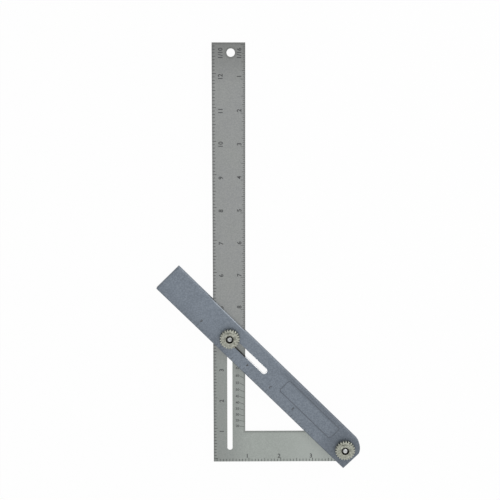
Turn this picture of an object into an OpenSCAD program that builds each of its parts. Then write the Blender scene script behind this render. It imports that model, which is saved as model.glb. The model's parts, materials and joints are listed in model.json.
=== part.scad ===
// An L-shaped steel square with a pivoting fence clamped across both legs.
// The fence is two bars, one on each face of the blade. It turns on a bolt in the
// short leg and is locked by a bolt that runs in a slot of the fence and a slot of
// the long leg, each bolt with a toothed thumb nut on the front.
// The tool lies flat: X to the right, Y up the long leg, Z towards the nuts.

/* [Blade] */
// Length of the long leg from the heel to the top edge
long_leg = 330.2; // [250:0.1:400]
// Width of the long leg
leg_w = 25; // [22:0.1:30]
// Width of the short leg
short_w = 25.4; // [22:0.1:30]
// Overall length of the short leg, with its round end
short_leg = 113; // [110:0.1:114]
// Thickness of the blade
blade_t = 1.2; // [1:0.1:2.5]
// Distance of the blade's slot from the outer edge of the long leg
slot_in = 12.9; // [11:0.1:14]
// Height of the pivot, and of the slot's lower end, above the bottom edge
pivot_up = 11.5; // [10.5:0.1:14]
// Distance of the pivot from the outer edge of the long leg
pivot_out = 104.1; // [103:0.1:106]
// Diameter of the hang hole
hang_d = 6.3; // [4:0.1:10]
// Distance of the hang hole from the outer edge of the long leg
hang_in = 14.2; // [12:0.1:16]
// Distance of the hang hole from the top edge
hang_down = 7.5; // [7:0.1:15]

/* [Fence] */
// Angle between the fence and the short leg as drawn, the steepest setting
swing = 45.2; // [30:0.1:46]
// Width of the fence bars
fence_w = 24.6; // [24:0.1:30]
// How far the fence's middle lies from the pivot, towards the edge that meets the work
fence_off = 0.1; // [0:0.1:1]
// Length of the fence from the pivot to its square end
fence_reach = 197.2; // [180:0.1:240]
// Length of the fence behind the pivot
fence_back = 11.2; // [10.5:0.1:11.5]
// Thickness of the front bar
front_t = 2.5; // [2:0.1:4]
// Thickness of the rear bar
rear_t = 2.5; // [2.2:0.1:4]
// Chamfer along the edges of the bars
bar_chamfer = 0.6; // [0.2:0.05:0.8]
// How much wider the slot in the front bar is than the blade's slot
front_ease = 0.7; // [0:0.1:1]

/* [Label panel] */
// Start of the outlined panel, measured from the pivot along the fence
panel_from = 14.3; // [14:0.1:20]
// Length of the panel
panel_l = 57.6; // [30:0.1:62]
// Width of the panel
panel_w = 12.1; // [8:0.1:14]
// Distance of the panel's middle from the pivot's line
panel_off = 2.9; // [0:0.1:3]
// Radius of the panel's corners
panel_r = 2.2; // [1:0.1:3.5]
// Width of the groove that outlines the panel
groove_w = 0.7; // [0.3:0.05:1]
// Depth of the groove
groove_d = 0.3; // [0.1:0.05:0.5]

/* [Bolts] */
// Diameter of the bolts' shanks
bolt_d = 3.9; // [3.5:0.1:4.8]
// How much wider the bolts' square necks are than their shanks
neck_more = 1; // [0.4:0.1:1.4]
// Diameter of the bolt heads
head_d = 9.2; // [7:0.1:11]
// Thickness of the bolt heads
head_t = 1.2; // [0.8:0.1:1.4]
// Chamfer at the bolts' tips and heads
bolt_chamfer = 0.4; // [0.2:0.05:0.6]
// How far the bolts' tips lie below the top of the nuts
tip_below = 0.2; // [0.1:0.1:1]

/* [Nuts and washers] */
// Outer diameter of the thumb nuts over their teeth
nut_d = 15.8; // [14.4:0.1:19]
// Thickness of the toothed disc
nut_t = 3.4; // [2.4:0.1:6]
// Number of teeth
teeth = 22; // [12:1:36]
// Depth of the teeth
tooth_depth = 1.2; // [0.6:0.1:1.5]
// Chamfer over the teeth
tooth_chamfer = 0.4; // [0.2:0.1:0.8]
// Diameter of the raised hub on the nut's face
hub_d = 10; // [9:0.1:11]
// Height of the raised hub
hub_t = 0.6; // [0.4:0.1:1.5]
// Diameter of the collar under the toothed disc
collar_d = 10.4; // [8:0.1:11]
// Height of the collar
collar_t = 1.2; // [0.6:0.1:4]
// Diameter of the counterbore in the nut's face
mouth_d = 6.2; // [5.8:0.1:7]
// Depth of the counterbore
mouth_t = 2.4; // [1:0.1:2.6]
// Outer diameter of the washers
washer_d = 11.0; // [10:0.1:13]
// Thickness of the washers
washer_t = 0.8; // [0.5:0.1:1.2]

/* [Fits] */
// Clearance on each side of a bolt in its hole or nut
run_clear = 0.05; // [0.02:0.01:0.1]
// Clearance on each side of a bolt in a slot
slide_clear = 0.1; // [0.05:0.01:0.2]
// Clearance round the bolt heads
head_clear = 0.25; // [0.1:0.05:0.4]
// Gap between the parts of the lock bolt and the faces of the blade
open_gap = 0.1; // [0.05:0.05:0.3]

/* [Hidden] */
// Overlap of a cut past the face it opens
cut = 1;
// Direction of the fence, measured from +X
fence_angle = 180 - swing;
// Distance from the pivot's line to the fence's two edges: the one that meets the work, and the
// other one, which is also the radius of the rounded corner
work_side = fence_w / 2 + fence_off;
corner_r = fence_w / 2 - fence_off;
// Distance from the pivot to the line of the blade's slot
slot_span = pivot_out - slot_in;
// Distance from the pivot to the lock bolt, with the fence square to the long leg and as drawn
lock_near = slot_span;
lock_far = slot_span / cos(swing);
// Travel of the lock bolt up the blade's slot
lock_rise = slot_span * tan(swing);
slot_w = bolt_d + 2 * slide_clear;
front_slot_w = slot_w + front_ease;
bolt_hole_r = bolt_d / 2 + run_clear;
// Recess in the rear bar for the bolt heads, and the square neck below it
recess_w = head_d + 2 * head_clear;
recess_t = head_t + head_clear;
neck_w = bolt_d + neck_more;
neck_hole_w = neck_w + 2 * slide_clear;
// Levels along Z, from the bench up
blade_z = rear_t;
front_z = blade_z + blade_t;
washer_z = front_z + front_t;
nut_z = washer_z + washer_t;
disc_z = nut_z + collar_t;
nut_top = disc_z + nut_t + hub_t;
tip_z = nut_top - tip_below;
head_z = recess_t - head_t;
neck_top = rear_t - open_gap;
// Extent of the tool as drawn, which sets the origin under its middle
x_low = pivot_out + fence_reach * cos(fence_angle) - work_side * sin(fence_angle);
x_high = pivot_out + corner_r;
y_low = pivot_up - fence_back * sin(fence_angle) + work_side * cos(fence_angle);
y_high = long_leg;
centre = [(x_low + x_high) / 2, (y_low + y_high) / 2, 0];

steel = [0.58, 0.60, 0.57];
fence_coat = [0.48, 0.51, 0.55];
brass = [0.72, 0.70, 0.58];
bolt_steel = [0.75, 0.76, 0.77];

// Moves a piece from the blade's heel to the tool's origin
module tool_place() {
    translate(-centre) children();
}

// Moves a piece from the pivot, with X along the fence, to the tool's origin
module fence_place() {
    tool_place() translate([pivot_out, pivot_up, 0]) rotate([0, 0, fence_angle]) children();
}

// A slot with round ends, its end centres at x = from and x = to
module slot_plan(from, to, width) {
    translate([from, -width / 2]) square([to - from, width]);
    for (x = [from, to]) translate([x, 0]) circle(d = width, $fn = 48);
}

module slot_cut(from, to, width, z, height) {
    translate([0, 0, z]) linear_extrude(height) slot_plan(from, to, width);
}

// A rectangle with round corners, its lower left corner at [x, y]
module round_rect(x, y, l, w, r) {
    translate([x + r, y]) square([l - 2 * r, w]);
    translate([x, y + r]) square([l, w - 2 * r]);
    for (cx = [x + r, x + l - r], cy = [y + r, y + w - r]) translate([cx, cy]) circle(r = r, $fn = 32);
}

module blade_plan() {
    square([leg_w, long_leg]);
    square([short_leg - short_w / 2, short_w]);
    translate([short_leg - short_w / 2, short_w / 2]) circle(d = short_w, $fn = 96);
}

module square_blade() {
    color(steel) tool_place() difference() {
        translate([0, 0, blade_z]) linear_extrude(blade_t) blade_plan();
        translate([hang_in, long_leg - hang_down, blade_z - cut])
            cylinder(d = hang_d, h = blade_t + 2 * cut, $fn = 64);
        translate([pivot_out, pivot_up, blade_z - cut])
            cylinder(r = bolt_hole_r, h = blade_t + 2 * cut, $fn = 48);
        translate([slot_in, pivot_up, 0]) rotate([0, 0, 90])
            slot_cut(0, lock_rise, slot_w, blade_z - cut, blade_t + 2 * cut);
    }
}

// A rectangle from [a, 0] to [b, t] with its four corners cut off
module chamfered_section(a, b, t, c) {
    polygon([[a + c, 0], [b - c, 0], [b, c], [b, t - c], [b - c, t], [a + c, t], [a, t - c], [a, c]]);
}

// A disc with both rims chamfered
module chamfered_disc(r, t, c) {
    rotate_extrude($fn = 96) polygon([[0, 0], [r - c, 0], [r, c], [r, t - c], [r - c, t], [0, t]]);
}

// A fence bar with its pivot at the origin: square at the far end, and rounded about
// the pivot at one corner of the near end
module fence_bar(t) {
    intersection() {
        translate([-fence_back, 0, 0]) rotate([90, 0, 90]) linear_extrude(fence_back + fence_reach)
            chamfered_section(-corner_r, work_side, t, bar_chamfer);
        translate([0, work_side, 0]) rotate([90, 0, 0]) linear_extrude(fence_w)
            chamfered_section(-fence_back, fence_reach, t, bar_chamfer);
        union() {
            chamfered_disc(corner_r, t, bar_chamfer);
            translate([0, -corner_r, 0]) cube([fence_reach, fence_w, t]);
            translate([-fence_back, 0, 0]) cube([fence_back, work_side, t]);
        }
    }
}

module panel_groove() {
    low = -panel_off - panel_w / 2;
    translate([0, 0, front_t - groove_d]) linear_extrude(groove_d + cut) difference() {
        round_rect(panel_from, low, panel_l, panel_w, panel_r);
        round_rect(panel_from + groove_w, low + groove_w, panel_l - 2 * groove_w,
                   panel_w - 2 * groove_w, panel_r - groove_w);
    }
}

module front_fence() {
    color(fence_coat) fence_place() translate([0, 0, front_z]) difference() {
        fence_bar(front_t);
        translate([0, 0, -cut]) cylinder(r = bolt_hole_r, h = front_t + 2 * cut, $fn = 48);
        slot_cut(lock_near, lock_far, front_slot_w, -cut, front_t + 2 * cut);
        panel_groove();
    }
}

// A slot with square ends, for a square neck whose middle runs from x = from to x = to
module neck_cut(from, to) {
    half = neck_hole_w / 2;
    translate([from - half, -half, 0]) cube([to - from + neck_hole_w, neck_hole_w, rear_t + cut]);
}

// The rear bar holds the bolt heads in recesses, flush with its back face
module rear_fence() {
    color(fence_coat) fence_place() difference() {
        fence_bar(rear_t);
        translate([0, 0, -cut]) cylinder(d = recess_w, h = recess_t + cut, $fn = 64);
        neck_cut(0, 0);
        slot_cut(lock_near, lock_far, recess_w, -cut, recess_t + cut);
        neck_cut(lock_near, lock_far);
    }
}

// The round head and square neck of a bolt, up to the top of the neck
module bolt_head() {
    translate([0, 0, head_z]) rotate_extrude($fn = 64) polygon([[0, 0], [head_d / 2 - bolt_chamfer, 0],
        [head_d / 2, bolt_chamfer], [head_d / 2, head_t], [0, head_t]]);
    translate([-neck_w / 2, -neck_w / 2, head_z]) cube([neck_w, neck_w, neck_top - head_z]);
}

// The shank of a bolt from z = from to its chamfered tip
module bolt_shank(from) {
    r = bolt_d / 2;
    rotate_extrude($fn = 48) polygon([[0, from], [r, from], [r, tip_z - bolt_chamfer],
        [r - bolt_chamfer, tip_z], [0, tip_z]]);
}

module pivot_bolt() {
    color(bolt_steel) fence_place() union() {
        bolt_head();
        bolt_shank(head_z + head_t / 2);
    }
}

// The lock bolt is open where it passes through the blade, so that it can slide with the fence
module lock_bolt() {
    color(bolt_steel) fence_place() translate([lock_far, 0, 0]) {
        bolt_head();
        bolt_shank(front_z + open_gap);
    }
}

module washer() {
    translate([0, 0, washer_z]) difference() {
        chamfered_disc(washer_d / 2, washer_t, washer_t / 8);
        translate([0, 0, -cut]) cylinder(r = bolt_hole_r, h = washer_t + 2 * cut, $fn = 48);
    }
}

module pivot_washer() {
    color(bolt_steel) fence_place() washer();
}

module lock_washer() {
    color(bolt_steel) fence_place() translate([lock_far, 0, 0]) washer();
}

// The outline of the teeth: each has a narrow land, straight flanks and a narrow root
module tooth_plan() {
    pitch = 360 / teeth;
    tip = nut_d / 2;
    root = tip - tooth_depth;
    polygon([for (i = [0 : teeth - 1], side = [[root, -0.38], [tip, -0.16], [tip, 0.16], [root, 0.38]])
        side[0] * [cos(pitch * (i + side[1])), sin(pitch * (i + side[1]))]]);
}

// A thumb nut: a toothed disc with chamfered teeth, a collar below it, a raised hub above it
// and a wide mouth round the bolt
module thumb_nut() {
    translate([0, 0, disc_z]) difference() {
        union() {
            intersection() {
                linear_extrude(nut_t) tooth_plan();
                chamfered_disc(nut_d / 2, nut_t, tooth_chamfer);
            }
            cylinder(d = hub_d, h = nut_t + hub_t, $fn = 64);
            translate([0, 0, -collar_t]) cylinder(d = collar_d, h = collar_t + nut_t / 2, $fn = 64);
        }
        translate([0, 0, -collar_t - cut])
            cylinder(r = bolt_hole_r, h = collar_t + nut_t + hub_t + 2 * cut, $fn = 48);
        translate([0, 0, nut_t + hub_t - mouth_t]) cylinder(d = mouth_d, h = mouth_t + cut, $fn = 48);
    }
}

module pivot_nut() {
    color(brass) fence_place() thumb_nut();
}

module lock_nut() {
    color(brass) fence_place() translate([lock_far, 0, 0]) thumb_nut();
}

square_blade();
front_fence();
rear_fence();
pivot_bolt();
pivot_washer();
pivot_nut();
lock_bolt();
lock_washer();
lock_nut();
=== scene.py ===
# %% [markdown]
# # A carpenter square with a pivoting fence
# The tool is an L-shaped blade of thin sheet steel, a fence made of two flat bars that turns on
# a bolt in the short leg, and two toothed thumb nuts that clamp it. Its moving pieces come ready
# made, at their real size, from the packed model. This lesson gives every surface its finish, cuts
# the scales into the blade and the fence, and sets up the camera, the floor and the light.

# %% Load the packed model
import json
import math

import bmesh
import bpy
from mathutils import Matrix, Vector


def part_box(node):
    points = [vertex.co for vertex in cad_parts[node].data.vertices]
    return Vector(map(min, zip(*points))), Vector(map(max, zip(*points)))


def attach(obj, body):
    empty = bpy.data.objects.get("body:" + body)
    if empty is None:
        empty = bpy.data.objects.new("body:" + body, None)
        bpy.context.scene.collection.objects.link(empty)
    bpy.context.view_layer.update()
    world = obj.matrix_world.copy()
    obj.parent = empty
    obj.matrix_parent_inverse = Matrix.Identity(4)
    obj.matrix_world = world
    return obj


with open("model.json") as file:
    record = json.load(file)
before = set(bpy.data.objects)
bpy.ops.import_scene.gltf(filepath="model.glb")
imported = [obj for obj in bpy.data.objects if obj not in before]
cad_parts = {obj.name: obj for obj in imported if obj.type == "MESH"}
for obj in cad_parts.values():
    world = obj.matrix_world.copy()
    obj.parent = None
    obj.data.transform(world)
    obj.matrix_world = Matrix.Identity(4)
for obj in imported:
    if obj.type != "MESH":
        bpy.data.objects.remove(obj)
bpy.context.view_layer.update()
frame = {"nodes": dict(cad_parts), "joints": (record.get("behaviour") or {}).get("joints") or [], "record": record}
MM = 0.001
INCH = 25.4 * MM
print("nodes:", sorted(frame["nodes"]))

# %% [markdown]
# Everything on the tool is placed from a few datum points. The blade's scales start at the heel,
# the outer corner of the L, and the fence's scale runs along the bar from the pivot. Both can be
# read from the model: the heel is the lowest corner of the blade's box, and the joints of the
# record give the pivot, the lock and the direction in which the fence points. The record also
# names the places where the tool is held or hung, and among them is the hang hole.

# %% Datum points
blade_low, blade_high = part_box("square_blade")
fence_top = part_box("front_fence")[1].z
heel = Vector((blade_low.x, blade_low.y, 0))
blade_top = blade_high.z
LONG_LEG = blade_high.y - blade_low.y
LEG_W, SHORT_W = 25.0 * MM, 25.4 * MM
joints = {joint["name"]: joint for joint in frame["joints"]}
pivot = Vector(joints["fence_pivot"]["pos_m"])
lock = Vector(joints["lock_nut_turn"]["pos_m"])
fence_dir = -Vector(joints["lock_slide"]["axis"])
fence_turn = math.atan2(fence_dir.y, fence_dir.x)
mounts = {mount["name"]: mount for mount in frame["record"]["mounts"]}
hang_hole = Vector(mounts["hang_hole"]["pos_m"])
HANG_R = mounts["hang_hole"]["dims"]["r_mm"] * MM
print("heel at", tuple(round(v / MM, 2) for v in heel), "mm")
print("pivot at", tuple(round(v / MM, 2) for v in pivot), "mm")
print("the fence points to", round(math.degrees(fence_turn), 1), "degrees")

# %% [markdown]
# The photograph was taken from almost straight above, from a height of about 0.94 m and a point
# level with the upper part of the long leg, so the far end of the blade looks a little larger than
# the heel. The camera's place and angles were worked out from the blade's own inch marks. The
# angles are in degrees here, and the lens and the sensor in millimetres, as Blender shows them.

# %% Camera
CAMERA_AT = Vector((-18.71, 211.65, 936.77)) * MM
CAMERA_TILT, CAMERA_TURN, CAMERA_ROLL = -12.187, -0.664, -0.096
LENS, SENSOR_W = 89.4, 36
NEAREST = 10 * MM
bpy.ops.object.select_all(action="DESELECT")
bpy.ops.object.camera_add(location=CAMERA_AT)
camera = bpy.context.object
camera.rotation_mode = "ZYX"
camera.rotation_euler = [math.radians(a) for a in (CAMERA_TILT, CAMERA_TURN, CAMERA_ROLL)]
camera.data.sensor_width = SENSOR_W
camera.data.lens = LENS
camera.data.clip_start = NEAREST
bpy.context.scene.camera = camera
print("camera", round(CAMERA_AT.length, 3), "m from the origin with a lens of", LENS, "mm")

# %% [markdown]
# The materials are graphs of nodes, and a graph is easier to read as sums. A small class wraps one
# socket, and its operators add Math nodes, so that 1 - mask works as it would on paper.

# %% Sums of sockets
class Signal:
    """One output socket, ready to be used in sums."""

    def __init__(self, graph, socket):
        self.graph = graph
        self.socket = socket

    def __add__(self, other):
        return self.graph.sum_with("ADD", self, other)

    def __radd__(self, other):
        return self.graph.sum_with("ADD", other, self)

    def __sub__(self, other):
        return self.graph.sum_with("SUBTRACT", self, other)

    def __rsub__(self, other):
        return self.graph.sum_with("SUBTRACT", other, self)

    def __mul__(self, other):
        return self.graph.sum_with("MULTIPLY", self, other)

    def __rmul__(self, other):
        return self.graph.sum_with("MULTIPLY", other, self)


sums = [name.strip("_") for name in vars(Signal) if name.startswith("__r")]
print("sums that also work with a number in front:", sums)

# %% [markdown]
# One method makes every node: it sets the node's own settings first and then its sockets. A finish
# is a graph with a Principled shader at its end. Two kinds of mask come back all the time, one that
# rises evenly between two distances and one that rises softly, so each has a method of its own.

# %% A maker of graphs and finishes
class Graph:
    """A tree of nodes."""

    def __init__(self, tree):
        self.tree = tree

    def node(self, kind, settings=None, inputs=None, output=0):
        """Makes a node and gives one of its outputs."""
        made = self.tree.nodes.new(kind)
        for key, value in (settings or {}).items():
            setattr(made, key, value)
        for key, value in (inputs or {}).items():
            self.feed(made.inputs[key], value)
        return Signal(self, made.outputs[output])

    def feed(self, socket, value):
        if isinstance(value, Signal):
            self.tree.links.new(value.socket, socket)
        else:
            socket.default_value = value

    def sum_with(self, operation, first, second=0.0):
        return self.node("ShaderNodeMath", {"operation": operation}, {0: first, 1: second})


class Finish(Graph):
    """A material with one Principled shader, and the nodes that feed it."""

    def __init__(self, name, metallic=0.0):
        self.material = bpy.data.materials.new(name)
        self.material.use_nodes = True
        super().__init__(self.material.node_tree)
        self.shader = self.tree.nodes["Principled BSDF"]
        self.metal(metallic)

    def place(self, scale=(1, 1, 1), turn=0.0, move=(0, 0, 0)):
        """Object coordinates, moved, turned about Z and stretched."""
        where = self.node("ShaderNodeTexCoord", output="Object")
        moved = self.node("ShaderNodeMapping", {}, {"Vector": where, "Location": move})
        turned = self.node("ShaderNodeMapping", {}, {"Vector": moved, "Rotation": (0, 0, turn)})
        return self.node("ShaderNodeMapping", {}, {"Vector": turned, "Scale": scale})

    def parts(self, vector):
        """The X, Y and Z of a vector, each as a signal."""
        split = self.node("ShaderNodeSeparateXYZ", {}, {"Vector": vector}).socket.node
        return [Signal(self, split.outputs[axis]) for axis in "XYZ"]

    def noise(self, vector, scale, detail=3.0, roughness=0.5):
        inputs = {"Vector": vector, "Scale": scale, "Detail": detail, "Roughness": roughness}
        return self.node("ShaderNodeTexNoise", {}, inputs, output="Fac")

    def fade(self, value, low, high, first=0.0, last=1.0):
        """Goes evenly from first to last as the value goes from low to high."""
        inputs = {"Value": value, "From Min": low, "From Max": high, "To Min": first, "To Max": last}
        return self.node("ShaderNodeMapRange", {}, inputs)

    def soft_step(self, value, low, high):
        """Rises softly from 0 to 1 as the value goes from low to high."""
        inputs = {"Value": value, "From Min": low, "From Max": high}
        return self.node("ShaderNodeMapRange", {"interpolation_type": "SMOOTHSTEP"}, inputs)

    def blend(self, factor, first, second):
        inputs = {"Factor": factor, "A": first, "B": second}
        return self.node("ShaderNodeMix", {"data_type": "RGBA"}, inputs, output="Result")

    def colour(self, value):
        self.feed(self.shader.inputs["Base Color"], value)

    def metal(self, value):
        self.feed(self.shader.inputs["Metallic"], value)

    def rough(self, value):
        self.feed(self.shader.inputs["Roughness"], value)

    def bump(self, height, distance, strength):
        inputs = {"Height": height, "Distance": distance, "Strength": strength}
        self.feed(self.shader.inputs["Normal"], self.node("ShaderNodeBump", {}, inputs))


def rgba(red, green, blue):
    return (red, green, blue, 1.0)


print("a finish can make", [name for name in vars(Finish) if not name.startswith("_")])

# %% [markdown]
# The blade is rolled sheet steel with a satin finish. Seen close, it has soft cloudy patches where
# the metal is a little greener or bluer, pale grit and tiny dark pits. Hands and work have rubbed
# it unevenly, so the long leg turns greener below the fence. The short leg is painted lighter, most
# of all towards its far end: a painted sheen, where the light falls brighter. Each of these is a
# soft mask of the distance from the heel, and the pale grit has a lighter colour in the painted
# sheen, so that it still shows there. A noise stays near one half, so a fade between two values a
# little above that picks out its peaks, which makes grit and pits of it.

# %% Blade steel
BLADE_GREEN, BLADE_BLUE = rgba(0.237, 0.249, 0.237), rgba(0.229, 0.235, 0.245)
BLADE_PALE, BLADE_PIT = rgba(0.306, 0.313, 0.303), rgba(0.15, 0.16, 0.15)
BLADE_LOW = rgba(0.237, 0.263, 0.247)
BLADE_SHEEN, SHEEN_END = rgba(0.298, 0.323, 0.302), rgba(0.350, 0.378, 0.356)
SHEEN_PALE = rgba(0.395, 0.426, 0.402)
SHEEN_FROM, SHEEN_TO = 5 * MM, 32 * MM
CORNER_FROM, CORNER_TO = 22 * MM, 42 * MM
UPPER_FROM, UPPER_TO = 80 * MM, 105 * MM
END_FROM, END_TO = 50 * MM, 78 * MM
ABOVE_CORNER_LESS = 0.42
LOW_SHARE = 0.85
PATCH_SHARE, GRIT_SHARE, PALE_LESS = 0.35, 0.50, 0.07
PIT_SHARE = 0.45
GRIT_PEAKS, PIT_PEAKS = (0.40, 0.62), (0.68, 0.76)
blade_steel = Finish("blade_steel", metallic=0.35)
over_blade = blade_steel.place()
blade_x, blade_y, _ = blade_steel.parts(over_blade)
clouds = blade_steel.noise(over_blade, scale=55.0, detail=4.0)
patches = blade_steel.noise(over_blade, scale=400.0, detail=2.0)
grit = blade_steel.noise(over_blade, scale=1000.0, detail=2.0, roughness=0.7)
grit = blade_steel.fade(grit, *GRIT_PEAKS)
pits = blade_steel.noise(over_blade, scale=1500.0, detail=1.0)
pits = blade_steel.fade(pits, *PIT_PEAKS)
above_corner = blade_steel.soft_step(blade_y, heel.y + CORNER_FROM, heel.y + CORNER_TO)
upper = blade_steel.soft_step(blade_y, heel.y + UPPER_FROM, heel.y + UPPER_TO)
# Painted sheen: the short leg is lighter, most of all towards its far end, and so is its grit.
sheen = blade_steel.soft_step(blade_x, heel.x + SHEEN_FROM, heel.x + SHEEN_TO)
sheen = sheen * (1.0 - above_corner * ABOVE_CORNER_LESS) * (1.0 - upper)
far_end = blade_steel.soft_step(blade_x, heel.x + END_FROM, heel.x + END_TO)
blade_tone = blade_steel.blend(clouds, BLADE_GREEN, BLADE_BLUE)
blade_tone = blade_steel.blend((1.0 - upper) * LOW_SHARE, blade_tone, BLADE_LOW)
sheen_tone = blade_steel.blend(far_end, BLADE_SHEEN, SHEEN_END)
blade_tone = blade_steel.blend(sheen, blade_tone, sheen_tone)
pale_tone = blade_steel.blend(sheen, BLADE_PALE, SHEEN_PALE)
pale_share = patches * PATCH_SHARE + grit * GRIT_SHARE - PALE_LESS
blade_tone = blade_steel.blend(pale_share, blade_tone, pale_tone)
blade_tone = blade_steel.blend(pits * PIT_SHARE, blade_tone, BLADE_PIT)
print("the blade's metal has", len(blade_steel.tree.nodes), "nodes")

# %% [markdown]
# Near an edge the blade is darker, a painted shade, and the distance to it can be worked out from
# the blade's own outline: the smallest of the distances to the long leg's outer edge, its top, the
# inner edges of both legs and the rim of the hang hole. The top of the long leg is darker too, a
# painted shade that fades down the leg.

# %% Painted shade on the blade
BLADE_SHADE = rgba(0.050, 0.052, 0.046)
EDGE_SHADE_W, EDGE_SHADE = 1.8 * MM, 0.45
TOP_SHADE_L, TOP_SHADE = 32 * MM, 0.38
to_top = (heel.y + LONG_LEG) - blade_y
to_leg_side, to_leg_top = (heel.x + LEG_W) - blade_x, (heel.y + SHORT_W) - blade_y
to_inner = blade_steel.sum_with("MAXIMUM", to_leg_side, to_leg_top)
to_edge = blade_steel.sum_with("MINIMUM", to_top, to_inner)
to_edge = blade_steel.sum_with("MINIMUM", blade_x - heel.x, to_edge)
hole_x, hole_y = blade_x - hang_hole.x, blade_y - hang_hole.y
to_hole = blade_steel.sum_with("SQRT", hole_x * hole_x + hole_y * hole_y) - HANG_R
to_edge = blade_steel.sum_with("MINIMUM", to_edge, to_hole)
# Painted shade: darker near every edge, and towards the top of the long leg.
edge_shade = blade_steel.fade(to_edge, 0.0, EDGE_SHADE_W, EDGE_SHADE, 0.0)
top_shade = blade_steel.fade(to_top, 0.0, TOP_SHADE_L, TOP_SHADE, 0.0)
blade_tone = blade_steel.blend(edge_shade, blade_tone, BLADE_SHADE)
blade_tone = blade_steel.blend(top_shade, blade_tone, BLADE_SHADE)
blade_steel.colour(blade_tone)
print("dirt reaches", EDGE_SHADE_W / MM, "mm in from the edges and", TOP_SHADE_L / MM, "mm down the leg")

# %% [markdown]
# The rolling has left faint lines along the long leg. They run the same way on the short leg,
# because both legs are cut from one sheet. The lines are a noise drawn out along the leg, which
# drives the roughness and a very shallow bump, so they show only where light grazes them.

# %% Rolling lines of the blade
LINE_STRETCH = (1, 0.02, 1)
BLADE_ROUGH, PATCH_ROUGH, LINE_ROUGH = 0.40, 0.08, 0.10
GRIT_HEIGHT, PIT_DEPTH = 0.5, 0.8
grain = blade_steel.noise(blade_steel.place(scale=LINE_STRETCH), scale=2600.0, detail=2.0)
blade_steel.rough(BLADE_ROUGH + patches * PATCH_ROUGH + grain * LINE_ROUGH)
blade_height = grain + grit * GRIT_HEIGHT - pits * PIT_DEPTH
blade_steel.bump(blade_height, distance=0.02 * MM, strength=0.35)
print("blade steel has", len(blade_steel.tree.nodes), "nodes")

# %% [markdown]
# The fence bars are steel with a thin matt blue-grey coat. The coat hides the rolling lines and
# leaves a fine even grain, darker in broad patches. A painted shade darkens it a little beside the
# panel, at the pivot and on the work's side of the far end. All of these places are found by two
# distances that turn with the bar: along it from the pivot, and across it from its middle line.

# %% Coat of the fence
FENCE_BLUE, FENCE_DARK = rgba(0.165, 0.196, 0.235), rgba(0.120, 0.143, 0.174)
FENCE_PALE, COAT_SHADE = rgba(0.240, 0.274, 0.318), rgba(0.030, 0.036, 0.048)
SPECK_PEAKS, SPECK_SHARE = (0.42, 0.60), 0.6
BESIDE_PANEL_FROM, BESIDE_PANEL_TO = -8.5 * MM, -6.0 * MM
PAST_PANEL_FROM, PAST_PANEL_TO = 72.0 * MM, 90.0 * MM
PIVOT_END_FROM, PIVOT_END_TO = 10.0 * MM, 24.0 * MM
WORK_HALF_FROM, WORK_HALF_TO = 2.0 * MM, 10.0 * MM
FAR_END_FROM, FAR_END_TO = 118.0 * MM, 135.0 * MM
NEAR_SHADE, FAR_SHADE = 0.24, 0.12
fence_coat = Finish("fence_coat")
over_bar = fence_coat.place()
broad = fence_coat.noise(over_bar, scale=40.0, detail=3.0)
speck = fence_coat.noise(over_bar, scale=900.0, detail=3.0, roughness=0.7)
coat = fence_coat.blend(broad, FENCE_BLUE, FENCE_DARK)
coat = fence_coat.blend(fence_coat.fade(speck, *SPECK_PEAKS) * SPECK_SHARE, coat, FENCE_PALE)
in_bar = fence_coat.place(turn=-fence_turn, move=(-pivot.x, -pivot.y, 0))
bar_x, bar_y, bar_z = fence_coat.parts(in_bar)
# Painted shade: darker beside the panel, at the pivot end and on the work's side of the far end.
beside_panel = 1.0 - fence_coat.soft_step(bar_y, BESIDE_PANEL_FROM, BESIDE_PANEL_TO)
beside_panel = beside_panel * (1.0 - fence_coat.soft_step(bar_x, PAST_PANEL_FROM, PAST_PANEL_TO))
pivot_end = 1.0 - fence_coat.soft_step(bar_x, PIVOT_END_FROM, PIVOT_END_TO)
far_side = fence_coat.soft_step(bar_y, WORK_HALF_FROM, WORK_HALF_TO)
far_side = far_side * fence_coat.soft_step(bar_x, FAR_END_FROM, FAR_END_TO)
near_shade = fence_coat.sum_with("MAXIMUM", beside_panel, pivot_end) * NEAR_SHADE
coat = fence_coat.blend(near_shade + far_side * FAR_SHADE, coat, COAT_SHADE)
print("the coat has", len(fence_coat.tree.nodes), "nodes")

# %% [markdown]
# The walls of the slot are bare metal, painted near-white as a painted reflection of the white
# floor: a mask of the distance from the slot's middle line picks them out, a little wider on the
# rear bar, so that its rim by the slot is painted light too. Towards the lock's usual place the
# walls are painted black instead, a painted shadow, which also makes a thin rim on one side.
# Where the bar lies over the long leg, its upper edge carries a painted highlight, a pale line.

# %% Walls of the slot and the painted highlight on the edge
BARE_WALL_REFLECTION, WALL_SHADOW = rgba(0.92, 0.93, 0.94), rgba(0.012, 0.012, 0.012)
BLADE_LEVEL = 3.0 * MM
SLOT_HALF, REAR_WIDER = 2.44 * MM, 0.6 * MM
SHADOW_FROM, SHADOW_RIM = 109.5 * MM, 0.5 * MM
EDGE_HIGHLIGHT = rgba(0.40, 0.43, 0.47)
HIGHLIGHT_BEYOND = -11.65 * MM
HIGHLIGHT_FROM, HIGHLIGHT_FROM_SOFT = 126 * MM, 5 * MM
HIGHLIGHT_TO, HIGHLIGHT_TO_SOFT = 159 * MM, 3 * MM
HIGHLIGHT_SHARE, HIGHLIGHT_SPECK = 0.4, 0.4
COAT_METALLIC, WALL_METALLIC, SHADOW_METALLIC = 0.35, 0.6, -0.9
COAT_ROUGH, SPECK_ROUGH, WALL_ROUGH, SHADOW_ROUGH = 0.44, 0.14, 0.2, 0.5
slot_near = pivot.x - lock.x
slot_far = slot_near / math.cos(math.pi - fence_turn)
rear = fence_coat.sum_with("LESS_THAN", bar_z, BLADE_LEVEL)
past_end = fence_coat.sum_with("MAXIMUM", slot_near - bar_x, bar_x - slot_far)
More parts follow.
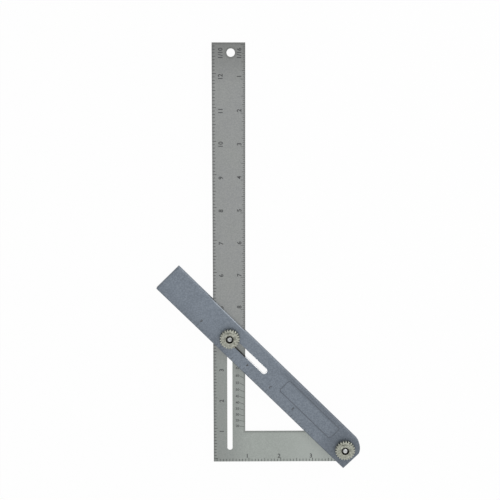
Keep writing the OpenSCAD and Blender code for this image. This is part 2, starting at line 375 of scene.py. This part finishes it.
past_end = fence_coat.sum_with("MAXIMUM", past_end, 0.0)
from_slot = fence_coat.sum_with("SQRT", past_end * past_end + bar_y * bar_y)
# Painted shadow: towards the lock the walls, and a thin rim on one side of the slot, are black.
shadowed = fence_coat.sum_with("GREATER_THAN", bar_x, SHADOW_FROM)
rim = shadowed * fence_coat.sum_with("GREATER_THAN", bar_y, 0.0) * SHADOW_RIM
# Painted reflection: the walls, and the rear bar's rim by the slot, are near-white.
wall = fence_coat.sum_with("LESS_THAN", from_slot, SLOT_HALF + rear * REAR_WIDER + rim)
wall_tone = fence_coat.blend(shadowed, BARE_WALL_REFLECTION, WALL_SHADOW)
# Painted highlight: a pale line along the bar's upper edge, where it lies over the long leg.
edge_highlight = fence_coat.sum_with("LESS_THAN", bar_y, HIGHLIGHT_BEYOND)
edge_highlight = edge_highlight * fence_coat.soft_step(bar_x, HIGHLIGHT_FROM - HIGHLIGHT_FROM_SOFT, HIGHLIGHT_FROM + HIGHLIGHT_FROM_SOFT)
edge_highlight = edge_highlight * (1.0 - fence_coat.soft_step(bar_x, HIGHLIGHT_TO - HIGHLIGHT_TO_SOFT, HIGHLIGHT_TO + HIGHLIGHT_TO_SOFT))
edge_highlight = edge_highlight * (1.0 - rear)
coat = fence_coat.blend(edge_highlight * (HIGHLIGHT_SHARE + speck * HIGHLIGHT_SPECK), coat, EDGE_HIGHLIGHT)
coat_rough = COAT_ROUGH + speck * SPECK_ROUGH
wall_rough = WALL_ROUGH + shadowed * SHADOW_ROUGH
fence_coat.colour(fence_coat.blend(wall, coat, wall_tone))
fence_coat.metal(COAT_METALLIC + wall * (WALL_METALLIC + shadowed * SHADOW_METALLIC))
fence_coat.rough(coat_rough * (1.0 - wall) + wall * wall_rough)
print("the slot's walls run from", round(slot_near / MM, 1), "to", round(slot_far / MM, 1), "mm")

# %% [markdown]
# Under the coat the bar's rolling lines are just felt. They run along the bar, so the noise is
# turned with it before it is drawn out, and the same grain as in the colour stands on them.

# %% Grain of the coat
BAR_STRETCH = (0.04, 1, 1)
BAR_LINE_HEIGHT = 0.6
bar_lines = fence_coat.place(turn=-fence_turn, scale=BAR_STRETCH)
bar_lines = fence_coat.noise(bar_lines, scale=1800.0, detail=2.0)
fence_coat.bump(speck + bar_lines * BAR_LINE_HEIGHT, distance=0.04 * MM, strength=0.3)
print("fence coat has", len(fence_coat.tree.nodes), "nodes")

# %% [markdown]
# The thumb nuts are turned from pale brass, so their faces carry fine rings about their own axis.
# A ring is a wave of the distance from that axis, and each nut and bolt needs its own centre.
# Tarnish lies on the metal in clouds, less of it on the ends of the teeth, which fingers rub
# bright. The mouth round the bolt's tip is painted black, a painted shade in the hole. The pivot's
# nut and bolt are lighter copies of the lock's metals, a painted highlight on them.

# %% Turned brass and bright steel
NUT_MOUTH_R, NUT_ROOT_R = 3.1 * MM, 6.8 * MM
TOOTH_FADE = 1.0 * MM
RING_PITCH = 0.35 * MM
BORE_SHADE = rgba(0.015, 0.015, 0.012)
# The pivot's brass and steel are lighter copies of the lock's: a painted highlight.
PIVOT_BRASS_LIT = rgba(0.392, 0.402, 0.345), rgba(0.146, 0.152, 0.122)
LOCK_BRASS = rgba(0.310, 0.316, 0.272), rgba(0.117, 0.120, 0.099)
PIVOT_STEEL_LIT = rgba(0.515, 0.525, 0.52), rgba(0.29, 0.30, 0.30)
LOCK_STEEL = rgba(0.335, 0.34, 0.335), rgba(0.172, 0.178, 0.172)
BRASS_METALLIC, STEEL_METALLIC = 0.7, 0.9
TARNISH_PEAKS, TARNISH_SHARE, TEETH_SHARE = (0.36, 0.64), 0.9, 0.4
TURNED_ROUGH, TARNISH_ROUGH, RING_HEIGHT = 0.26, 0.18, 0.5


def turned_metal(name, centre, tones, metallic, mouth=0.0):
    """Metal turned about an upright axis through centre, with painted black shade within its mouth."""
    bright, dull = tones
    turned = Finish(name, metallic)
    about_axis = turned.place(move=(-centre.x, -centre.y, 0))
    axis_x, axis_y, _ = turned.parts(about_axis)
    radius = turned.sum_with("SQRT", axis_x * axis_x + axis_y * axis_y)
    rings = turned.sum_with("SINE", radius * (2 * math.pi / RING_PITCH))
    tarnish = turned.noise(about_axis, scale=700.0, detail=4.0, roughness=0.75)
    tarnish = turned.fade(tarnish, *TARNISH_PEAKS)
    teeth = turned.fade(radius, NUT_ROOT_R, NUT_ROOT_R + TOOTH_FADE)
    tint = turned.blend(tarnish * TARNISH_SHARE - teeth * TEETH_SHARE, bright, dull)
    # Painted shade: black within the mouth round the bolt's tip.
    bore_shade = turned.sum_with("LESS_THAN", radius, mouth)
    turned.colour(turned.blend(bore_shade, tint, BORE_SHADE))
    turned.rough(TURNED_ROUGH + tarnish * TARNISH_ROUGH)
    turned.bump(rings * RING_HEIGHT + tarnish, distance=0.03 * MM, strength=0.3)
    return turned.material


pivot_brass = turned_metal("nut_brass_pivot", pivot, PIVOT_BRASS_LIT, BRASS_METALLIC, NUT_MOUTH_R)
lock_brass = turned_metal("nut_brass_lock", lock, LOCK_BRASS, BRASS_METALLIC, NUT_MOUTH_R)
pivot_steel = turned_metal("bolt_steel_pivot", pivot, PIVOT_STEEL_LIT, STEEL_METALLIC)
lock_steel = turned_metal("bolt_steel_lock", lock, LOCK_STEEL, STEEL_METALLIC)
print("the nuts' rings are", RING_PITCH / MM, "mm apart")

# %% [markdown]
# The cut marks are filled with dark paint that has dried a little unevenly. The paint in the
# panel's groove is nearly worn away, so it is closer to the blue-grey of the coat.

# %% Paint in the cut marks
INK_TONES = rgba(0.030, 0.032, 0.034), rgba(0.075, 0.078, 0.080)
GROOVE_TONES = rgba(0.085, 0.100, 0.122), rgba(0.140, 0.160, 0.190)
DRIED_ROUGH, UNEVEN_ROUGH = 0.5, 0.2


def dried_paint(name, tones):
    """Matt paint whose tone and roughness vary a little."""
    dried = Finish(name)
    unevenness = dried.noise(dried.place(), scale=900.0)
    dried.colour(dried.blend(unevenness, *tones))
    dried.rough(DRIED_ROUGH + unevenness * UNEVEN_ROUGH)
    return dried.material


ink = dried_paint("mark_paint", INK_TONES)
groove_paint = dried_paint("groove_paint", GROOVE_TONES)
print("paints:", ink.name, "and", groove_paint.name)

# %% [markdown]
# A piece that comes from the packed model keeps its shape and gets a finish by name. A washer has
# the steel of the bolt that it sits on.

# %% Give every carried-over piece its finish
FINISHES = {
    "square_blade": blade_steel.material,
    "front_fence": fence_coat.material,
    "rear_fence": fence_coat.material,
    "pivot_bolt": pivot_steel,
    "pivot_washer": pivot_steel,
    "pivot_nut": pivot_brass,
    "lock_bolt": lock_steel,
    "lock_washer": lock_steel,
    "lock_nut": lock_brass,
}
for node_name, material in FINISHES.items():
    for material_slot in frame["nodes"][node_name].material_slots:
        material_slot.material = material
print("finished", len(FINISHES), "pieces")

# %% [markdown]
# The scales are cut into the metal and filled with dark paint. A whole row of equal marks is one
# small bar, modelled once and repeated by an Array modifier. The bars are sunk into the metal and
# stand a hair above it, about the thickness of the paint.

# %% One mark
PAINT_UP, PAINT_DOWN = 0.03 * MM, 0.05 * MM
MARK_END = 0.08 * MM


def deselect():
    bpy.ops.object.select_all(action="DESELECT")


def settle(piece):
    """Puts the piece's place, turn and size into its mesh."""
    deselect()
    piece.select_set(True)
    bpy.context.view_layer.objects.active = piece
    bpy.ops.object.transform_apply(location=True, rotation=True, scale=True)


def bar(at, length, width, turn):
    """A flat bar that starts at a point and runs along turn, with its far corners bevelled."""
    deselect()
    bpy.ops.mesh.primitive_cube_add(size=1, location=(length / 2, 0, 0))
    piece = bpy.context.object
    piece.scale = (length, width, PAINT_UP + PAINT_DOWN)
    settle(piece)
    bpy.ops.object.mode_set(mode="EDIT")
    bpy.ops.mesh.select_all(action="DESELECT")
    shape = bmesh.from_edit_mesh(piece.data)
    for edge in shape.edges:
        upright = abs(edge.verts[0].co.z - edge.verts[1].co.z) > PAINT_UP
        edge.select = upright and edge.verts[0].co.x > length / 2
    bmesh.update_edit_mesh(piece.data)
    bpy.ops.mesh.bevel(offset=MARK_END, segments=1)
    bpy.ops.object.mode_set(mode="OBJECT")
    piece.rotation_euler = (0, 0, turn)
    piece.location = at + Vector((0, 0, (PAINT_UP - PAINT_DOWN) / 2))
    settle(piece)
    return piece


print("a mark stands", PAINT_UP / MM, "mm above the metal and reaches", PAINT_DOWN / MM, "mm into it")

# %% [markdown]
# Each kind of mark of a scale, such as the one at every half inch, stands in the same place of each
# inch. So a scale is a few rows, and each row has one mark to the inch.

# %% Rows of marks
END_KEEP_INCHES = 0.02


def row(at, length, turn, step, count, width):
    """Equal marks, each a step further on."""
    piece = bar(at, length, width, turn)
    if count > 1:
        repeat = piece.modifiers.new("repeat", "ARRAY")
        repeat.use_relative_offset = False
        repeat.use_constant_offset = True
        repeat.constant_offset_displace = step
        repeat.count = count
        bpy.ops.object.modifier_apply(modifier="repeat")
    return piece


def scale_rows(start, run, into, inches, parts, lengths, width):
    """The rows of one scale, with so many parts to the inch. A little stays free at its end."""
    made = []
    turn = math.atan2(into.y, into.x)
    for part in range(parts):
        first = start + run * (part * INCH / parts)
        count = math.floor(inches - part / parts - END_KEEP_INCHES) + 1
        length = next(size for every, size in lengths if part % every == 0)
        made.append(row(first, length, turn, run * INCH, count, width))
    return made


print("past its last mark a scale goes on for at least", END_KEEP_INCHES, "in")

# %% [markdown]
# What is modelled as many small bars or words becomes one named piece. It gets its paint and rides
# on the body that carries it.

# %% Join and paint
def join(pieces, name):
    """Joins pieces into one, with a name of its own and its place in its mesh."""
    deselect()
    for piece in pieces:
        piece.select_set(True)
    bpy.context.view_layer.objects.active = pieces[0]
    if len(pieces) > 1:
        bpy.ops.object.join()
    joined = bpy.context.object
    joined.name = name
    joined.data.name = name
    settle(joined)
    print(name, "has", len(joined.data.polygons), "faces")
    return joined


def paint(piece, body, material=ink):
    """Paints a piece and ties it to the body on which it rides."""
    piece.data.materials.clear()
    piece.data.materials.append(material)
    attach(piece, body)


print("marks are painted with", ink.name)

# %% [markdown]
# The blade has three inch scales: tenths up the long leg's outer edge and along the bottom of the
# short leg, and sixteenths down the long leg's inner edge from the top. A mark is longer the
# rounder its part of the inch is, so each scale has a short list of every how many parts a mark
# grows, the longest first.

# %% Inch scales of the blade
TENTHS = ((10, 3.0 * MM), (5, 2.6 * MM), (1, 2.1 * MM))
SIXTEENTHS = ((16, 3.4 * MM), (8, 2.8 * MM), (4, 2.4 * MM), (2, 1.8 * MM), (1, 1.4 * MM))
TENTH_W, FINE_W = 0.45 * MM, 0.3 * MM
EDGE_IN = 0.1 * MM
TENTHS_UP, TENTHS_ALONG, SIXTEENTHS_DOWN = LONG_LEG / INCH - 0.1, 4.15, 8.6
right, up = Vector((1, 0, 0)), Vector((0, 1, 0))
heel_top = Vector((heel.x, heel.y, blade_top))
leg_corner = heel_top + Vector((LEG_W, LONG_LEG, 0))
up_start = heel_top + right * EDGE_IN + up * INCH / 10
tenths_up = scale_rows(up_start, up, right, TENTHS_UP, 10, TENTHS, TENTH_W)
paint(join(tenths_up, "long_leg_tenths"), "square")
along_start = heel_top + up * EDGE_IN + right * INCH / 10
tenths_along = scale_rows(along_start, right, up, TENTHS_ALONG, 10, TENTHS, TENTH_W)
paint(join(tenths_along, "short_leg_tenths"), "square")
down_start = leg_corner - right * EDGE_IN - up * INCH / 16
sixteenths = scale_rows(down_start, -up, -right, SIXTEENTHS_DOWN, 16, SIXTEENTHS, FINE_W)
paint(join(sixteenths, "long_leg_sixteenths"), "square")

# %% [markdown]
# The numbers are plain digits. A text object in Blender's own font is given a thickness, turned
# into a mesh, and sunk into the metal as the marks are. On the long leg they lie on their side, so
# that they are read from the bottom of the leg towards its top.

# %% Words cut into the metal
DIGIT_SHARE = 0.70
DIGIT_BOLD = 0.03
CURVE_STEPS = 3


def words(text, at, height, turn):
    """A short text centred on a point, with digits of the given height."""
    deselect()
    bpy.ops.object.text_add(location=at + Vector((0, 0, -PAINT_DOWN)), rotation=(0, 0, turn))
    label = bpy.context.object
    label.data.body = text
    label.data.align_x = "CENTER"
    label.data.align_y = "CENTER"
    label.data.size = height / DIGIT_SHARE
    label.data.resolution_u = CURVE_STEPS
    label.data.extrude = (PAINT_UP + PAINT_DOWN) / 2
    label.data.offset = height * DIGIT_BOLD
    bpy.ops.object.convert(target="MESH")
    piece = bpy.context.object
    settle(piece)
    lift = at.z + PAINT_UP - max(v.co.z for v in piece.data.vertices)
    for vertex in piece.data.vertices:
        vertex.co.z += lift
    return piece


print("a digit is", DIGIT_SHARE, "of its text's size")

# %% [markdown]
# Every inch has its number up the long leg's outer edge and along the short leg. The inner edge is
# numbered down from the top, and stops where the angle scale beside the slot needs the room. Its
# numbers stand a little above their inches, as they do in the photograph. Two small titles at the
# top, 1/10 and 1/16, say into how many parts each scale divides the inch.

# %% Numbers of the blade
SIDEWAYS = math.radians(90)
NUMBER_H = 3.3 * MM
LEFT_IN, RIGHT_IN, RIGHT_UP = 6.6 * MM, 4.4 * MM, 0.4 * MM
BOTTOM_IN, BOTTOM_SHIFT = 4.6 * MM, 1.2 * MM
TITLE_DOWN = 8.0 * MM
LAST_LEFT, LAST_RIGHT, LAST_BOTTOM = 12, 8, 3
leg_numbers = []
for inch in range(1, LAST_LEFT + 1):
    at = heel_top + Vector((LEFT_IN, inch * INCH, 0))
    leg_numbers.append(words(str(inch), at, NUMBER_H, SIDEWAYS))
for inch in range(1, LAST_RIGHT + 1):
    at = leg_corner - Vector((RIGHT_IN, inch * INCH - RIGHT_UP, 0))
    leg_numbers.append(words(str(inch), at, NUMBER_H, SIDEWAYS))
for inch in range(1, LAST_BOTTOM + 1):
    at = heel_top + Vector((inch * INCH + BOTTOM_SHIFT, BOTTOM_IN, 0))
    leg_numbers.append(words(str(inch), at, NUMBER_H, 0))
left_title = heel_top + Vector((LEFT_IN, LONG_LEG - TITLE_DOWN, 0))
right_title = leg_corner - Vector((RIGHT_IN, TITLE_DOWN, 0))
leg_numbers.append(words("1/10", left_title, NUMBER_H, SIDEWAYS))
leg_numbers.append(words("1/16", right_title, NUMBER_H, SIDEWAYS))
paint(join(leg_numbers, "blade_numbers"), "square")

# %% [markdown]
# Beside the slot stands a scale for the fence's angle, with a number for every five degrees of the
# full angle of a joint, which is twice the fence's own. A mark stands as high as the fence's
# middle line crosses the outer edge at that angle, and it leans as the fence does, so the marks
# spread out and lean more towards the top.

# %% Lock scale beside the slot
FIRST_ANGLE, LAST_ANGLE, ANGLE_STEP = 20, 85, 5
DIGITS_IN, TICK_IN, TICK_L = 18.8 * MM, 20.4 * MM, 3.9 * MM
LOCK_DIGIT_H = 1.9 * MM
lock_marks = []
lock_numbers = []
for full_angle in range(FIRST_ANGLE, LAST_ANGLE + 1, ANGLE_STEP):
    lean = math.radians(full_angle / 2)
    rise = (pivot.x - heel.x) * math.tan(lean)
    start = Vector((heel.x + TICK_IN, pivot.y + rise, blade_top))
    lock_marks.append(bar(start, TICK_L / math.cos(lean), FINE_W, -lean))
    lock_numbers.append(words(str(full_angle), start + right * (DIGITS_IN - TICK_IN), LOCK_DIGIT_H, 0))
paint(join(lock_marks, "lock_scale_marks"), "square")
paint(join(lock_numbers, "lock_scale_numbers"), "square")
print("the lock scale's top mark is", round(rise / MM, 1), "mm above the pivot")

# %% [markdown]
# The fence has its own inch scale along the edge that meets the work. It is laid out in the
# fence's own directions: along the bar from the pivot, and across it towards that edge. It starts
# an inch before its first number.

# %% Scale of the fence
EIGHTHS = ((8, 2.6 * MM), (4, 2.0 * MM), (1, 1.3 * MM))
FENCE_MARK_W, FENCE_DIGIT_H = 0.2 * MM, 2.4 * MM
WORK_SIDE, EDGE_KEEP, NUMBER_OUT = 12.4 * MM, 0.8 * MM, 5.9 * MM
FIRST_INCH = 53.0 * MM
FIRST_NUMBER, LAST_NUMBER = 2, 6
across_dir = Vector((-fence_dir.y, fence_dir.x, 0))
fence_zero = Vector((pivot.x, pivot.y, fence_top))
fence_edge = fence_zero + across_dir * (WORK_SIDE - EDGE_KEEP)
fence_start = fence_edge + fence_dir * (FIRST_INCH - INCH)
fence_inches = LAST_NUMBER - FIRST_NUMBER + 2
fence_rows = scale_rows(fence_start, fence_dir, -across_dir, fence_inches, 8, EIGHTHS, FENCE_MARK_W)
paint(join(fence_rows, "fence_scale_marks"), "fence")
number_line = fence_zero + across_dir * NUMBER_OUT
fence_numbers = []
for number in range(FIRST_NUMBER, LAST_NUMBER + 1):
    at = number_line + fence_dir * (FIRST_INCH + (number - FIRST_NUMBER) * INCH)
    fence_numbers.append(words(str(number), at, FENCE_DIGIT_H, fence_turn))
paint(join(fence_numbers, "fence_numbers"), "fence")

# %% [markdown]
# A bare panel is outlined on the fence by a shallow groove, and the groove holds dark paint. The
# paint is a plane with its corners bevelled, inset to a ring, and drawn down into the groove. Its
# top lies a little below the face of the bar.

# %% Paint in the panel's groove
PANEL_FROM, PANEL_L, PANEL_W = 14.3 * MM, 57.6 * MM, 12.1 * MM
PANEL_OFF, PANEL_R = 2.9 * MM, 2.2 * MM
GROOVE_W, GROOVE_D, GROOVE_GAP = 0.7 * MM, 0.3 * MM, 0.02 * MM
PAINT_BELOW = 0.2
CORNER_STEPS = 6
deselect()
bpy.ops.mesh.primitive_plane_add(size=1)
panel_line = bpy.context.object
panel_line.scale = (PANEL_L - 2 * GROOVE_GAP, PANEL_W - 2 * GROOVE_GAP, 1)
settle(panel_line)
bpy.ops.object.mode_set(mode="EDIT")
bpy.ops.mesh.select_all(action="SELECT")
bpy.ops.mesh.bevel(offset=PANEL_R, segments=CORNER_STEPS, affect="VERTICES")
bpy.ops.mesh.select_all(action="SELECT")
bpy.ops.mesh.inset(thickness=GROOVE_W - 2 * GROOVE_GAP)
bpy.ops.mesh.delete(type="FACE")
bpy.ops.mesh.select_all(action="SELECT")
paint_depth = GROOVE_D * (1 - PAINT_BELOW)
bpy.ops.mesh.extrude_region_move(TRANSFORM_OT_translate={"value": (0, 0, -paint_depth)})
bpy.ops.mesh.select_all(action="SELECT")
bpy.ops.mesh.normals_make_consistent(inside=False)
bpy.ops.object.mode_set(mode="OBJECT")
panel_line.rotation_euler = (0, 0, fence_turn)
panel_middle = fence_zero + fence_dir * (PANEL_FROM + PANEL_L / 2) - across_dir * PANEL_OFF
panel_line.location = panel_middle - Vector((0, 0, GROOVE_D * PAINT_BELOW))
paint(join([panel_line], "panel_line"), "fence", groove_paint)

# %% [markdown]
# The floor is a plain pale sheet under a plain pale sky. The photograph has a pure white ground,
# so rays from the camera and mirrored rays meet almost plain white, on the floor and beyond it.
# All other rays meet the lit floor and a softer sky, and a little of the lit floor, with the
# tool's shadow on it, is mixed into the white.

# %% Floor and sky
FLOOR_SIZE = 6.0
FLOOR_DOWN = 0.2 * MM
FLOOR_PALE, FLOOR_ROUGH = rgba(0.88, 0.88, 0.88), 0.9
SKY_PALE = rgba(1, 1, 1)
GROUND_WHITE, SKY_WHITE = 0.97, 1.0
SKY_LIGHT = 0.56


def white_when_seen(graph, lit, out, share):
    """Mixes plain white into a shader, for rays from the camera and for mirrored or bent rays."""
    path = graph.node("ShaderNodeLightPath").socket.node
    seen = Signal(graph, path.outputs["Is Camera Ray"])
    for kind in ("Is Glossy Ray", "Is Transmission Ray"):
        seen = graph.sum_with("MAXIMUM", seen, Signal(graph, path.outputs[kind]))
    white = graph.node("ShaderNodeEmission")
    inputs = {"Fac": seen * share, 1: Signal(graph, lit), 2: white}
    graph.feed(out.inputs["Surface"], graph.node("ShaderNodeMixShader", {}, inputs))


deselect()
bpy.ops.mesh.primitive_plane_add(size=FLOOR_SIZE, location=(0, 0, -FLOOR_DOWN))
floor = bpy.context.object
floor.name = "floor"
settle(floor)
floor_pale = Finish("floor_pale")
floor_pale.colour(FLOOR_PALE)
floor_pale.rough(FLOOR_ROUGH)
floor.data.materials.append(floor_pale.material)
floor_out = floor_pale.tree.nodes["Material Output"]
white_when_seen(floor_pale, floor_pale.shader.outputs["BSDF"], floor_out, GROUND_WHITE)

studio = bpy.data.worlds.new("studio")
bpy.context.scene.world = studio
studio.use_nodes = True
sky = studio.node_tree.nodes["Background"]
sky.inputs["Color"].default_value = SKY_PALE
sky.inputs["Strength"].default_value = SKY_LIGHT
sky_out = studio.node_tree.nodes["World Output"]
white_when_seen(Graph(studio.node_tree), sky.outputs["Background"], sky_out, SKY_WHITE)
print("the floor is", FLOOR_SIZE, "m wide and the sky gives", SKY_LIGHT)

# %% [markdown]
# The shadows in the photograph are short and fall towards the top of the picture, so the main lamp
# is broad and hangs high above the lower right of the tool. A second, smaller lamp stands low at
# the upper right of the picture, and brightens the edges and teeth that face it.

# %% Lamps
MAIN_AT, MAIN_SIZE, MAIN_POWER = Vector((0.12, -0.18, 1.7)), 0.7, 4.1
SIDE_AT, SIDE_SIZE, SIDE_POWER = Vector((0.9, 0.8, 0.5)), 0.4, 5.0


def lamp(name, at, size, power):
    """A square area lamp that looks at the middle of the tool."""
    deselect()
    bpy.ops.object.light_add(type="AREA", location=at)
    light = bpy.context.object
    light.name = name
    light.data.shape = "SQUARE"
    light.data.size = size
    light.data.energy = power
    light.rotation_euler = (-at).to_track_quat("-Z", "Y").to_euler()


lamp("side_lamp", SIDE_AT, SIDE_SIZE, SIDE_POWER)
lamp("main_lamp", MAIN_AT, MAIN_SIZE, MAIN_POWER)
bpy.context.scene.view_settings.view_transform = "Standard"

# %% [markdown]
# Finishes and marks don't change the tool's size.
